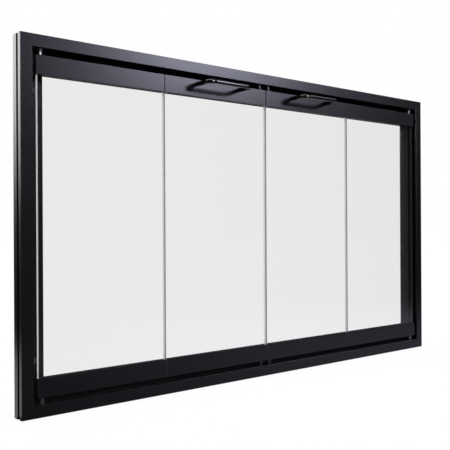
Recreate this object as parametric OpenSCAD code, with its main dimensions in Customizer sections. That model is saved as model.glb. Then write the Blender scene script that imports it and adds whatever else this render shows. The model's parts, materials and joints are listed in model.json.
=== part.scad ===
// Four-panel bifold glass door set for a fireplace, in its mitred frame.
// The origin is the centre of the frame on its rear mounting plane; the front faces -Y and +Z is up.

/* [Frame] */
// Overall width of the frame
frame_w = 965; // [760:5:1220]
// Overall height of the frame
frame_h = 559; // [440:1:760]
// Width of the flat front face of each member
face_w = 19; // [17:0.5:26]
// Wall thickness of the frame and rail extrusions
wall_t = 1.6; // [1.2:0.1:2]
// Depth of the short return behind the inner edge of the face
lip_return = 3; // [2.4:0.1:3.6]
// Width of the rear flange, from the outer edge inwards
flange_w = 45; // [40:0.5:60]
// Thickness of the rear flange
flange_t = 2.4; // [2:0.1:3.2]
// Depth at which the groove in the outer side starts
groove_start = 8; // [7:0.1:10]
// Width of the groove in the outer side
groove_w = 6.4; // [6:0.1:7.5]
// Depth of the groove in the outer side
groove_depth = 4; // [3:0.1:4.5]
// Radius of the worn-off front edges
edge_r = 0.7; // [0.3:0.1:1.2]
// Hairline left open in each mitre
mitre_gap = 0.1; // [0.05:0.05:0.4]

/* [Door panels] */
// Gap between the jamb's face and the end of the doors
side_gap = 6.2; // [4:0.1:9]
// Gap between the head's face and the top rails
head_gap = 9.8; // [8:0.1:14]
// Gap between the sill's face and the bottom rails
sill_gap = 8.4; // [7:0.1:14]
// Gap between the two inner panels at the centre
meet_gap = 2.4; // [2:0.1:4]
// Gap between the two panels of a pair
fold_gap = 1.6; // [1.2:0.1:3]
// Height of a rail
rail_h = 29.5; // [28:0.5:45]
// Thickness of a rail
rail_t = 12.7; // [11:0.1:16]
// Depth of the pocket that holds the glass
pocket_h = 14; // [10:0.5:15]
// Radius of the long edges of a rail
rail_edge_r = 0.9; // [0.4:0.1:1.4]
// Thickness of the glass
glass_t = 4.8; // [4:0.1:6]
// Ground chamfer on the bare side edges of the glass
glass_seam = 0.6; // [0.3:0.1:1]
// Distance of the glass from the pivot end of an outer panel
glass_inset = 2.4; // [0:0.1:4]
// Thickness of the gasket behind the edge of the glass
gasket_t = 1.5; // [1:0.1:3]
// Thickness of the gasket in front of the glass
gasket_front = 0.8; // [0.5:0.1:1.5]

/* [Tracks and pivots] */
// Thickness of the track's sheet
track_t = 1.2; // [0.9:0.1:1.6]
// Diameter of the nylon guide cap
cap_dia = 9.5; // [8:0.1:11]
// Clearance between the guide cap and each side of the track
cap_gap = 0.4; // [0.3:0.05:0.6]
// Clearance of the track from the face and its return
track_gap = 0.6; // [0.4:0.1:1]
// Distance of every pivot and guide pin from the end of its panel
pin_inset = 9.5; // [8:0.1:11]
// Radius of the pivot pins
pivot_r = 3; // [2.5:0.05:3.2]
// Height of the nose of a pivot socket, below the opening of the track
socket_nose = 3; // [1:0.1:4]
// Length of a pivot pin that sits in its socket
pivot_engage = 4.6; // [3.6:0.1:5]
// Radius of the guide studs
stud_r = 2.5; // [2:0.05:2.8]
// Length of a pivot socket along its track
socket_len = 24; // [20:0.5:32]
// Length of a pivot or guide block inside its rail
block_len = 24; // [20:0.5:32]

/* [Hinges] */
// Outer radius of a hinge knuckle
knuckle_r = 3; // [2.6:0.05:3.6]
// Radius of a hinge pin
hinge_pin_r = 1.5; // [1.2:0.05:1.8]
// Thickness of a hinge leaf
leaf_t = 1.5; // [1.2:0.1:2]
// Width of a hinge leaf from the pin's axis
leaf_w = 24; // [20:0.5:30]
// Height of a hinge leaf
leaf_h = 14; // [12:0.5:14.5]
// Clearance between a knuckle and the rail beside it
hinge_stand = 0.2; // [0.2:0.05:0.5]
// Clearance between the hinge knuckles and the rear flange
rear_clear = 1.9; // [1.2:0.1:6]

/* [Handles] */
// Overall length of a handle
handle_len = 99; // [90:1:150]
// Height of the handle's bar
handle_h = 7.5; // [6:0.5:10]
// Thickness of the handle's bar
handle_t = 6.5; // [6:0.1:9]
// Distance from the rail's face to the outside of the handle
handle_out = 40; // [30:0.5:48]
// Radius of the handle's bends, along the middle of the bar
handle_bend = 12; // [7:0.5:15]
// Radius of the handle's long edges
handle_edge_r = 2.4; // [1:0.1:2.6]
// Distance from the rail's top to the middle of the handle
handle_drop = 7.8; // [6:0.1:10]

/* [Fastening] */
// Distance of the anchor holes from the frame's outer edge
anchor_inset = 32; // [29:0.5:38]
// Distance between the upper and the lower anchor holes
anchor_pitch = 400; // [240:5:420]
// Radius of an anchor hole
anchor_r = 2.75; // [2:0.05:3.5]
// Length of each arm of a corner key
key_len = 40; // [34:1:60]
// Width of a corner key
key_w = 13; // [11:0.5:13.5]
// Thickness of a corner key
key_t = 3; // [2:0.1:4]
// Radius of the key screws and the handle screws
screw_r = 2; // [1.5:0.05:2.2]
// Radius of the rivets, the socket screws and the rail screws
small_r = 1.6; // [1.2:0.05:1.8]
// Largest distance between two rivets of a track
rivet_pitch = 160; // [100:5:250]

/* [Hidden] */
$fn = 48;
run_fit = 0.05;     // radial clearance of a pin in its bore
free_gap = 0.3;     // clearance between pieces that move past each other
drill_over = 1;     // how far a cutting tool runs past the wall it cuts
arc_steps = 4;      // straight steps in a rounded edge

black_paint = "#1b1b1e";
rail_paint = "#202024";
clear_glass = "#cfe0da80";
dark_rubber = "#141414";
zinc_steel = "#b9bcc0";
mill_aluminium = "#a7a9ac";
pale_nylon = "#dcd8cc";
dark_nylon = "#2b2b2b";

// Depths behind the frame's front face
track_w = cap_dia + 2 * (cap_gap + track_t);
groove_mid = groove_start + groove_w / 2;
rivet_tail_r = 2.3;
rivet_room = 0.2;
track_half = track_w / 2;
tail_reach = groove_mid + rivet_tail_r + rivet_room;
pin_depth = max(wall_t + track_gap + track_half, tail_reach + track_t - track_half);
rail_recess = pin_depth - rail_t / 2;
rail_back = pin_depth + rail_t / 2;
hinge_depth = rail_back + hinge_stand + knuckle_r;
frame_d = hinge_depth + knuckle_r + rear_clear + flange_t;
groove_end = groove_start + groove_w;
flange_depth = frame_d - flange_t;

// The same depths as places along Y
pin_y = pin_depth - frame_d;
rail_front_y = rail_recess - frame_d;
rail_back_y = rail_back - frame_d;
hinge_y = hinge_depth - frame_d;
groove_y = groove_mid - frame_d;

// Distances inwards from the frame's outer edge
web_in = groove_depth + wall_t;
track_open_in = face_w - wall_t - track_gap;
track_seat_in = web_in + track_t;
track_len = frame_w - 2 * (web_in + run_fit);
track_edge_r = 0.2;
socket_open_in = track_open_in - free_gap;
socket_mouth_in = socket_open_in + socket_nose;

// Door panels of the left pair
door_left_x = -frame_w / 2 + face_w + side_gap;
panel_w = (frame_w - 2 * (face_w + side_gap) - meet_gap - 2 * fold_gap) / 4;
fold_x = door_left_x + panel_w + fold_gap / 2;
pivot_x = door_left_x + pin_inset;
panel_mid_x = door_left_x + panel_w / 2;
top_rail_z = frame_h / 2 - face_w - head_gap;
bottom_rail_z = -frame_h / 2 + face_w + sill_gap;

// Inside of a rail
pocket_w = rail_t - 2 * wall_t;
hollow_h = rail_h - pocket_h - 2 * wall_t;
block_w = pocket_w - 2 * run_fit;
block_h = hollow_h - 2 * run_fit;
rail_hollow_mid = wall_t + hollow_h / 2;
glass_hide = pocket_h - gasket_t;
glass_y = rail_front_y + wall_t + gasket_front + glass_t / 2;
glass_top_z = top_rail_z - rail_h + glass_hide;
glass_bottom_z = bottom_rail_z + rail_h - glass_hide;

// Pivot pins, springs and guide studs
collar_r = pivot_r + 1;
collar_t = 1.3;
shoulder_t = 3;
pin_tip = pivot_r / 4;
pivot_top = face_w + head_gap - socket_mouth_in + pivot_engage;
pivot_bottom = face_w + sill_gap - socket_mouth_in + pivot_engage;
collar_top = -wall_t - run_fit - shoulder_t - free_gap;
spring_wire_r = 0.35;
spring_turns = 4;
spring_steps = 16;
spring_sides = 6;
spring_mean_r = collar_r - 2 * spring_wire_r;
spring_base = -wall_t - hollow_h;
spring_len = collar_top - collar_t - spring_base;
hex_r = stud_r + 2.1;
hex_t = 2;
stud_depth = wall_t + 9;
cap_clear = 2.4;
cap_len = track_open_in - track_seat_in - cap_clear - track_gap;
cap_roof = 1.5;
cap_edge = 1;

// Fasteners
rivet_head_r = 2.8;
rivet_head_t = 1;
rivet_tail_t = 1.1;
screw_head_t = 1.6;
socket_screw_len = 8;
rail_screw_len = 6;
handle_screw_bite = 8;
csk_r = 2 * screw_r - 0.2;
csk_h = 2;
key_hole_pos = key_len - 11;
key_edge = wall_t + 1;
key_rib_t = 1.2;
leaf_corner_r = 2;
leaf_hole_edge = 5.5;
leaf_hole_pitch = 9;
hinge_head_r = 2.3;
hinge_head_t = 1;
handle_span = handle_len - handle_t;
handle_z = top_rail_z - handle_drop;
handle_bar_y = rail_front_y - handle_out + handle_t / 2;
rivet_count = 2 * ceil((pivot_run() / rivet_pitch + 1) / 2);

function pivot_run() = -2 * pivot_x - 2 * socket_len;

// Points of a rounded corner: an arc about its centre, between two angles
function arc(x, y, r, from, to) =
    [for (i = [0:arc_steps])
        let (a = from + (to - from) * i / arc_steps) [x + r * cos(a), y + r * sin(a)]];

// Rectangle of a given size about the origin, with rounded corners
module round_rect(w, h, r) {
    polygon(concat(
        arc(w / 2 - r, h / 2 - r, r, 0, 90),
        arc(-w / 2 + r, h / 2 - r, r, 90, 180),
        arc(-w / 2 + r, -h / 2 + r, r, 180, 270),
        arc(w / 2 - r, -h / 2 + r, r, 270, 360)));
}

// Carries a section drawn in Y and Z along X, about the middle of its length
module along_x(len) {
    rotate([90, 0, 90]) linear_extrude(height = len, center = true) children();
}

// A round tool or pin along Y, from one place to another
module rod_y(r, from, to) {
    translate([0, from, 0]) rotate([-90, 0, 0]) cylinder(r = r, h = to - from);
}

// Domed screw along +Z with its head's seat at the origin and its shank pointing down
module pan_screw(r, len) {
    head_r = 1.75 * r;
    rotate_extrude() polygon(concat(
        [[0, -len], [0.5 * r, -len], [r, -len + r], [r, 0], [head_r, 0]],
        arc(head_r - screw_head_t, 0, screw_head_t, 20, 90),
        [[0, screw_head_t]]));
}

// The same part at the head and at the sill of a door, about the two rails' outer edges
module at_top_rail() {
    translate([0, 0, top_rail_z]) children();
}
module at_bottom_rail() {
    translate([0, 0, bottom_rail_z]) mirror([0, 0, 1]) children();
}
module at_both_rails() {
    at_top_rail() children();
    at_bottom_rail() children();
}

// The inner panel is the outer one seen in a mirror at the fold
module at_inner_panel() {
    translate([2 * fold_x, 0, 0]) mirror([1, 0, 0]) children();
}
module at_right() {
    mirror([1, 0, 0]) children();
}

// ---- Frame ----

// Section of a member: depth behind the face, and distance inwards from the outer edge
member_outline = concat(
    arc(edge_r, edge_r, edge_r, 180, 270),
    [[groove_start, 0], [groove_start, groove_depth], [groove_end, groove_depth], [groove_end, 0]],
    [[frame_d, 0], [frame_d, flange_w]],
    arc(flange_depth + edge_r, flange_w - edge_r, edge_r, 90, 180),
    [[flange_depth, key_edge + key_w + free_gap + key_rib_t],
     [flange_depth - key_t, key_edge + key_w + free_gap + key_rib_t],
     [flange_depth - key_t, key_edge + key_w + free_gap],
     [flange_depth, key_edge + key_w + free_gap],
     [flange_depth, wall_t],
     [groove_end + wall_t, wall_t], [groove_end + wall_t, web_in],
     [groove_start - wall_t, web_in], [groove_start - wall_t, wall_t],
     [wall_t, wall_t], [wall_t, face_w - wall_t],
     [lip_return, face_w - wall_t], [lip_return, face_w]],
    arc(edge_r, face_w - edge_r, edge_r, 90, 180));

// Member along X with its outer edge at Z = 0, mitred at both ends
module member(len) {
    difference() {
        intersection() {
            along_x(len) polygon([for (p = member_outline) [p[0] - frame_d, -p[1]]]);
            translate([0, drill_over, 0]) rotate([90, 0, 0])
                linear_extrude(height = frame_d + 2 * drill_over) mitre_outline(len);
        }
        for (s = [-1, 1]) translate([s * (len / 2 - key_hole_pos), 0, -key_edge - key_w / 2]) {
            rod_y(screw_r + run_fit, -flange_t - drill_over, drill_over);
            countersink(run_fit);
        }
    }
}

module mitre_outline(len) {
    half = len / 2 - mitre_gap;
    polygon([[-half, 0], [half, 0], [half - flange_w - drill_over, -flange_w - drill_over],
             [-half + flange_w + drill_over, -flange_w - drill_over]]);
}

// Cone of a countersunk head whose flat end lies in the rear plane
module countersink(extra) {
    rotate([90, 0, 0]) cylinder(r1 = csk_r + extra, r2 = screw_r + extra, h = csk_h);
}

// Holes through the bottom of the groove for the track's rivets and the sockets' screws
module track_holes() {
    for (x = rivet_places()) translate([x, groove_y, -track_seat_in - drill_over])
        cylinder(r = small_r + run_fit, h = track_t + wall_t + 2 * drill_over);
    for (s = [-1, 1]) translate([s * socket_screw_x(), groove_y, -track_seat_in - drill_over])
        cylinder(r = small_r + run_fit, h = track_t + wall_t + 2 * drill_over);
}

function rivet_places() =
    [for (i = [0:rivet_count - 1]) pivot_run() * (i / (rivet_count - 1) - 0.5)];
function socket_screw_x() = -pivot_x - (pivot_r + socket_len / 2) / 2;

module at_head() {
    translate([0, 0, frame_h / 2]) children();
}
module at_sill() {
    translate([0, 0, -frame_h / 2]) mirror([0, 0, 1]) children();
}

module head_member() {
    color(black_paint) at_head() difference() {
        member(frame_w);
        track_holes();
    }
}

module sill_member() {
    color(black_paint) at_sill() difference() {
        member(frame_w);
        track_holes();
    }
}

module left_jamb() {
    color(black_paint) difference() {
        translate([-frame_w / 2, 0, 0]) rotate([0, -90, 0]) member(frame_h);
        for (s = [-1, 1]) translate([-frame_w / 2 + anchor_inset, 0, s * anchor_pitch / 2])
            rod_y(anchor_r, -flange_t - drill_over, drill_over);
    }
}

module right_jamb() {
    at_right() left_jamb();
}

// Runs its children at the four corners, with the corner itself at the origin
module at_corners() {
    for (sx = [0, 1], sz = [0, 1]) mirror([sx, 0, 0]) mirror([0, 0, sz])
        translate([-frame_w / 2, 0, -frame_h / 2]) children();
}

// L-shaped key lying on the inside of the rear flange
module corner_keys() {
    color(mill_aluminium) at_corners() difference() {
        translate([0, -flange_t, 0]) rotate([90, 0, 0]) linear_extrude(height = key_t)
            translate([key_edge, key_edge]) polygon([[0, 0], [key_len - key_edge, 0],
                [key_len - key_edge, key_w], [key_w, key_w], [key_w, key_len - key_edge],
                [0, key_len - key_edge]]);
        at_key_holes() rod_y(screw_r + run_fit, -flange_t - key_t - drill_over, drill_over);
    }
}

module at_key_holes() {
    translate([key_hole_pos, 0, key_edge + key_w / 2]) children();
    translate([key_edge + key_w / 2, 0, key_hole_pos]) children();
}

module corner_key_screws() {
    color(zinc_steel) at_corners() at_key_holes() {
        rod_y(screw_r, -flange_t - key_t, 0);
        countersink(0);
    }
}

// ---- Tracks ----

// Strip that lies on the inside of the member, with the rivet holes
module track_base() {
    difference() {
        translate([0, pin_y, -web_in - track_t / 2]) along_x(track_len)
            square([track_w, track_t], center = true);
        track_holes();
    }
}

// Two strips that stand on the edges of the base and guide the caps between them
module track_walls() {
    height = track_open_in - track_seat_in;
    for (side = [-1, 1])
        translate([0, pin_y + side * (track_w - track_t) / 2, -track_seat_in - height / 2])
            along_x(track_len) round_rect(track_t, height, track_edge_r);
}

module top_track_base() {
    color(black_paint) at_head() track_base();
}

module top_track_walls() {
    color(black_paint) at_head() track_walls();
}

module bottom_track_base() {
    color(black_paint) at_sill() track_base();
}

module bottom_track_walls() {
    color(black_paint) at_sill() track_walls();
}

// Rivet with its head on the bottom of the groove and its tail inside the track
module rivet() {
    translate([0, 0, -groove_depth]) cylinder(r = rivet_head_r, h = rivet_head_t);
    translate([0, 0, -track_seat_in]) cylinder(r = small_r, h = track_t + wall_t);
    translate([0, 0, -track_seat_in - rivet_tail_t]) cylinder(r = rivet_tail_r, h = rivet_tail_t);
}

module track_rivets() {
    color(mill_aluminium) for (x = rivet_places()) {
        at_head() translate([x, groove_y, 0]) rivet();
        at_sill() translate([x, groove_y, 0]) rivet();
    }
}

module socket_screws() {
    color(zinc_steel) for (s = [-1, 1]) {
        at_head() translate([s * socket_screw_x(), groove_y, -groove_depth])
            pan_screw(small_r, socket_screw_len);
        at_sill() translate([s * socket_screw_x(), groove_y, -groove_depth])
            pan_screw(small_r, socket_screw_len);
    }
}

// Block in the end of a track with a round nose, bored for a pivot pin that stands out of the doors
module pivot_socket(bore_depth) {
    height = socket_open_in - track_seat_in;
    width = track_w - 2 * (track_t + run_fit);
    difference() {
        union() {
            translate([pivot_x - socket_len / 2, pin_y - width / 2, -socket_open_in])
                cube([socket_len, width, height]);
            translate([pivot_x, pin_y, -socket_mouth_in]) cylinder(d = width, h = socket_nose);
        }
        translate([pivot_x, pin_y, -socket_mouth_in - drill_over])
            cylinder(r = pivot_r + run_fit, h = bore_depth + drill_over);
        translate([pivot_x, pin_y, -socket_mouth_in - free_gap])
            cylinder(r1 = pivot_r + 2 * free_gap + run_fit, r2 = pivot_r + run_fit, h = 3 * free_gap);
        translate([-socket_screw_x(), groove_y, -groove_depth - socket_screw_len - free_gap])
            cylinder(r = small_r + run_fit, h = socket_screw_len);
    }
}

module left_top_pivot_socket() {
    color(dark_nylon) at_head() pivot_socket(pivot_engage + 2 * free_gap);
}

module left_bottom_pivot_socket() {
    color(dark_nylon) at_sill() pivot_socket(pivot_engage + free_gap);
}

module right_top_pivot_socket() {
    at_right() left_top_pivot_socket();
}

module right_bottom_pivot_socket() {
    at_right() left_bottom_pivot_socket();
}

// ---- Rails, glass and gaskets, drawn for the left outer panel ----

// Section of a rail with its outer edge at Z = 0 and the glass pocket below
module rail_section() {
    difference() {
        translate([0, -rail_h / 2]) round_rect(rail_t, rail_h, rail_edge_r);
        translate([-pocket_w / 2, -rail_h - drill_over]) square([pocket_w, pocket_h + drill_over]);
        translate([-pocket_w / 2, -wall_t - hollow_h]) square([pocket_w, hollow_h]);
    }
}

// Rail with a hole for its pin and holes for the screws in its rear wall
module rail(pin_hole_r) {
    difference() {
        translate([panel_mid_x, pin_y, 0]) along_x(panel_w) rail_section();
        translate([pivot_x, pin_y, -wall_t - drill_over])
            cylinder(r = pin_hole_r, h = wall_t + 2 * drill_over);
        at_rail_screws()
            rod_y(small_r + run_fit, rail_back_y - wall_t - drill_over, rail_back_y + drill_over);
    }
}

// Holes through the front and rear walls of a rail for the handle's two screws
module handle_holes() {
    at_handle_feet() translate([0, 0, -handle_drop])
        rod_y(screw_r + run_fit, rail_front_y - drill_over, rail_back_y + drill_over);
}

module at_handle_feet() {
    for (s = [-1, 1]) translate([panel_mid_x + s * handle_span / 2, 0, 0]) children();
}

// The rear-wall screws of one rail: one into the end block and two into the hinge leaf
module at_rail_screws() {
    translate([door_left_x + block_len - pin_inset / 2, 0, -rail_hollow_mid]) children();
    at_leaf_holes() children();
}

module at_leaf_holes() {
    for (i = [0, 1])
        translate([fold_x - leaf_w + leaf_hole_edge + i * leaf_hole_pitch, 0, -rail_hollow_mid]) children();
}

module left_outer_top_rail() {
    color(rail_paint) at_top_rail() rail(pivot_r + free_gap);
}

module left_outer_bottom_rail() {
    color(rail_paint) at_bottom_rail() rail(pivot_r + free_gap);
}

module left_inner_top_rail() {
    color(rail_paint) at_inner_panel() at_top_rail() difference() {
        rail(stud_r + run_fit);
        handle_holes();
    }
}

module left_inner_bottom_rail() {
    color(rail_paint) at_inner_panel() at_bottom_rail() rail(stud_r + run_fit);
}

// Pane with chamfered side edges; the one at the pivot end is set in
module glass_pane(inset) {
    s = glass_seam;
    left = -panel_w / 2 + inset;
    right = panel_w / 2;
    t = glass_t / 2;
    color(clear_glass) translate([panel_mid_x, glass_y, glass_bottom_z])
        linear_extrude(height = glass_top_z - glass_bottom_z)
            polygon([[left + s, -t], [right - s, -t], [right, -t + s], [right, t - s],
                     [right - s, t], [left + s, t], [left, t - s], [left, -t + s]]);
}

module left_outer_glass() {
    glass_pane(glass_inset);
}

module left_inner_glass() {
    at_inner_panel() glass_pane(0);
}

// U-shaped gasket that fills the pocket on both sides of the glass
module gasket() {
    translate([panel_mid_x, pin_y, -rail_h]) along_x(panel_w) difference() {
        translate([-pocket_w / 2, 0]) square([pocket_w, pocket_h]);
        translate([glass_y - pin_y - glass_t / 2, -drill_over]) square([glass_t, glass_hide + drill_over]);
    }
}

module left_outer_gaskets() {
    color(dark_rubber) at_both_rails() gasket();
}

module left_inner_gaskets() {
    at_inner_panel() left_outer_gaskets();
}

// ---- Blocks, pins and springs ----

// Block that fills the hollow end of a rail, with a threaded hole for its rear screw
module rail_block() {
    difference() {
        translate([door_left_x, pin_y - block_w / 2, -wall_t - run_fit - block_h])
            cube([block_len, block_w, block_h]);
        translate([door_left_x + block_len - pin_inset / 2, 0, -rail_hollow_mid])
            rod_y(small_r + run_fit, rail_back_y - rail_screw_len, rail_back_y);
    }
}

module pivot_bore(r, from, to) {
    translate([pivot_x, pin_y, from]) cylinder(r = r, h = to - from);
}

// Bevelled end of a pivot pin, up to a given height above the rail
module pin_chamfer(top) {
    translate([pivot_x, pin_y, top - pin_tip])
        cylinder(r1 = pivot_r, r2 = pivot_r - pin_tip, h = pin_tip);
}

module left_outer_pivot_blocks() {
    color(dark_nylon) {
        at_top_rail() difference() {
            rail_block();
            pivot_bore(pivot_r + run_fit, collar_top, 0);
            pivot_bore(collar_r + free_gap, spring_base - drill_over, collar_top + free_gap);
        }
        at_bottom_rail() difference() {
            rail_block();
            pivot_bore(pivot_r + run_fit, spring_base, 0);
        }
    }
}

module left_top_pivot_pin() {
    color(zinc_steel) at_top_rail() {
        pivot_bore(pivot_r, collar_top - collar_t, pivot_top - pin_tip);
        pivot_bore(collar_r, collar_top - collar_t, collar_top);
        pin_chamfer(pivot_top);
    }
}

module left_bottom_pivot_pin() {
    color(zinc_steel) at_bottom_rail() {
        pivot_bore(pivot_r, spring_base + run_fit, pivot_bottom - pin_tip);
        pin_chamfer(pivot_bottom);
    }
}

// Coil spring: a small ring of points carried along a rising helix, closed at both ends
module coil_spring() {
    rings = spring_turns * spring_steps;
    rise = spring_len - 2 * (spring_wire_r + run_fit);
    points = [for (i = [0:rings], j = [0:spring_sides - 1])
        let (a = 360 * i / spring_steps, b = 360 * j / spring_sides,
             r = spring_mean_r + spring_wire_r * cos(b))
        [r * cos(a), r * sin(a), rise * i / rings + spring_wire_r * sin(b)]];
    sides = [for (i = [0:rings - 1], j = [0:spring_sides - 1])
        let (k = (j + 1) % spring_sides, low = i * spring_sides, high = low + spring_sides)
        [low + j, low + k, high + k, high + j]];
    polyhedron(points, concat(sides,
        [[for (j = [spring_sides - 1:-1:0]) j]],
        [[for (j = [0:spring_sides - 1]) rings * spring_sides + j]]), convexity = 10);
}

module left_top_pivot_spring() {
    color(zinc_steel) at_top_rail()
        translate([pivot_x, pin_y, spring_base + spring_wire_r + run_fit]) coil_spring();
}

module left_inner_guide_blocks() {
    color(dark_nylon) at_inner_panel() at_both_rails() difference() {
        rail_block();
        pivot_bore(stud_r + run_fit, -stud_depth - free_gap, 0);
    }
}

// Stud with a hexagonal collar that seats on the rail, and its tip inside the guide cap
module guide_stud(gap) {
    pivot_bore(stud_r, -stud_depth, guide_tip(gap) - cap_roof - run_fit);
    translate([pivot_x, pin_y, 0]) cylinder(r = hex_r, h = hex_t, $fn = 6);
}

function guide_tip(gap) = face_w + gap - track_seat_in - cap_clear;

module left_guide_studs() {
    color(zinc_steel) at_inner_panel() {
        at_top_rail() guide_stud(head_gap);
        at_bottom_rail() guide_stud(sill_gap);
    }
}

// Nylon cap that runs in the track, with a rounded top edge and a blind bore
module guide_cap(gap) {
    top = guide_tip(gap);
    r = cap_dia / 2;
    translate([pivot_x, pin_y, top - cap_len]) rotate_extrude() polygon(concat(
        [[stud_r + run_fit, 0], [r, 0]],
        arc(r - cap_edge, cap_len - cap_edge, cap_edge, 0, 90),
        [[0, cap_len], [0, cap_len - cap_roof], [stud_r + run_fit, cap_len - cap_roof]]));
}

module left_guide_caps() {
    color(pale_nylon) at_inner_panel() {
        at_top_rail() guide_cap(head_gap);
        at_bottom_rail() guide_cap(sill_gap);
    }
}

// ---- Hinges ----

// Leaf on the rear of a rail: a plate, and tabs that carry its own knuckles
module hinge_leaf(knuckles) {
    step = leaf_h / 3;
    plate_w = leaf_w - knuckle_r - 2 * free_gap;
    difference() {
        union() {
            translate([fold_x - leaf_w + plate_w / 2, rail_back_y + leaf_t, -rail_hollow_mid])
                rotate([90, 0, 0]) linear_extrude(height = leaf_t)
                    round_rect(plate_w, leaf_h, leaf_corner_r);
            for (k = knuckles) {
                low = -rail_hollow_mid - leaf_h / 2 + k * step + free_gap / 2;
                translate([fold_x - leaf_w / 2, rail_back_y, low])
                    cube([leaf_w / 2, leaf_t, step - free_gap]);
                translate([fold_x, hinge_y, low]) cylinder(r = knuckle_r, h = step - free_gap);
            }
        }
        translate([fold_x, hinge_y, -rail_h]) cylinder(r = hinge_pin_r + run_fit, h = rail_h);
        at_leaf_holes()
            rod_y(small_r + run_fit, rail_back_y - drill_over, rail_back_y + leaf_t + drill_over);
    }
}

module left_outer_hinge_leaves() {
    color(black_paint) at_both_rails() hinge_leaf([0, 2]);
}

module left_inner_hinge_leaves() {
    color(black_paint) at_inner_panel() at_both_rails() hinge_leaf([1]);
}

module left_hinge_pins() {
    half = leaf_h / 2 - free_gap / 2 + run_fit;
    color(zinc_steel) at_both_rails() translate([fold_x, hinge_y, -rail_hollow_mid]) {
        cylinder(r = hinge_pin_r, h = 2 * half, center = true);
        for (s = [0, 1]) mirror([0, 0, s]) translate([0, 0, half])
            cylinder(r1 = hinge_head_r, r2 = hinge_head_r / 2, h = hinge_head_t);
    }
}

// Screws in the rear wall of a rail: the hinge leaf's two, and the one that holds the block
module rear_screws() {
    at_leaf_holes() translate([0, rail_back_y + leaf_t, 0])
        rotate([-90, 0, 0]) pan_screw(small_r, rail_screw_len);
    translate([door_left_x + block_len - pin_inset / 2, rail_back_y, -rail_hollow_mid])
        rotate([-90, 0, 0]) pan_screw(small_r, rail_screw_len - 2 * free_gap);
}

module left_outer_rail_screws() {
    color(zinc_steel) at_both_rails() rear_screws();
}

module left_inner_rail_screws() {
    at_inner_panel() left_outer_rail_screws();
}

// ---- Handles ----

module handle_section() {
    round_rect(handle_t, handle_h, handle_edge_r);
}

// D-shaped pull: two feet, two bends and the bar, all of one rounded section
module left_handle() {
    foot_len = handle_out - handle_t / 2 - handle_bend;
    color(black_paint) at_inner_panel() translate([0, 0, handle_z]) difference() {
        union() {
            translate([panel_mid_x, handle_bar_y, 0]) along_x(handle_span - 2 * handle_bend)
                handle_section();
            for (s = [0, 1]) translate([panel_mid_x, 0, 0]) mirror([s, 0, 0]) {
                translate([handle_span / 2 - handle_bend, handle_bar_y + handle_bend, 0])
                    rotate([0, 0, -90]) rotate_extrude(angle = 90) translate([handle_bend, 0])
                        handle_section();
                translate([handle_span / 2, rail_front_y, 0]) rotate([90, 0, 0])
                    linear_extrude(height = foot_len) handle_section();
            }
        }
        at_handle_feet() rod_y(screw_r + run_fit, rail_front_y - handle_screw_bite - free_gap,
                               rail_front_y + drill_over);
    }
}

module left_handle_screws() {
    color(zinc_steel) at_inner_panel() at_handle_feet() translate([0, rail_back_y, handle_z])
        rotate([-90, 0, 0]) pan_screw(screw_r, rail_t + handle_screw_bite);
}

// ---- The right pair is the left pair seen in a mirror ----

module right_outer_top_rail() { at_right() left_outer_top_rail(); }
module right_outer_bottom_rail() { at_right() left_outer_bottom_rail(); }
module right_outer_glass() { at_right() left_outer_glass(); }
module right_outer_gaskets() { at_right() left_outer_gaskets(); }
module right_outer_pivot_blocks() { at_right() left_outer_pivot_blocks(); }
module right_bottom_pivot_pin() { at_right() left_bottom_pivot_pin(); }
module right_top_pivot_pin() { at_right() left_top_pivot_pin(); }
module right_top_pivot_spring() { at_right() left_top_pivot_spring(); }
module right_outer_hinge_leaves() { at_right() left_outer_hinge_leaves(); }
module right_hinge_pins() { at_right() left_hinge_pins(); }
module right_outer_rail_screws() { at_right() left_outer_rail_screws(); }
module right_inner_top_rail() { at_right() left_inner_top_rail(); }
module right_inner_bottom_rail() { at_right() left_inner_bottom_rail(); }
module right_inner_glass() { at_right() left_inner_glass(); }
module right_inner_gaskets() { at_right() left_inner_gaskets(); }
module right_inner_guide_blocks() { at_right() left_inner_guide_blocks(); }
module right_guide_studs() { at_right() left_guide_studs(); }
module right_guide_caps() { at_right() left_guide_caps(); }
module right_inner_hinge_leaves() { at_right() left_inner_hinge_leaves(); }
module right_inner_rail_screws() { at_right() left_inner_rail_screws(); }
module right_handle() { at_right() left_handle(); }
module right_handle_screws() { at_right() left_handle_screws(); }

head_member();
sill_member();
left_jamb();
right_jamb();
corner_keys();
corner_key_screws();
top_track_base();
top_track_walls();
bottom_track_base();
bottom_track_walls();
track_rivets();
socket_screws();
left_top_pivot_socket();
left_bottom_pivot_socket();
right_top_pivot_socket();
right_bottom_pivot_socket();
left_outer_top_rail();
left_outer_bottom_rail();
left_outer_glass();
left_outer_gaskets();
left_outer_pivot_blocks();
left_bottom_pivot_pin();
left_top_pivot_pin();
left_top_pivot_spring();
left_outer_hinge_leaves();
left_hinge_pins();
left_outer_rail_screws();
left_inner_top_rail();
left_inner_bottom_rail();
left_inner_glass();
left_inner_gaskets();
left_inner_guide_blocks();
left_guide_studs();
left_guide_caps();
left_inner_hinge_leaves();
left_inner_rail_screws();
left_handle();
left_handle_screws();
right_outer_top_rail();
right_outer_bottom_rail();
right_outer_glass();
right_outer_gaskets();
right_outer_pivot_blocks();
right_bottom_pivot_pin();
right_top_pivot_pin();
right_top_pivot_spring();
right_outer_hinge_leaves();
right_hinge_pins();
right_outer_rail_screws();
right_inner_top_rail();
right_inner_bottom_rail();
right_inner_glass();
right_inner_gaskets();
right_inner_guide_blocks();
right_guide_studs();
right_guide_caps();
right_inner_hinge_leaves();
right_inner_rail_screws();
right_handle();
right_handle_screws();
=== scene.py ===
import json
import math

import bmesh
import bpy
import numpy as np
from mathutils import Matrix, Vector


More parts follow.
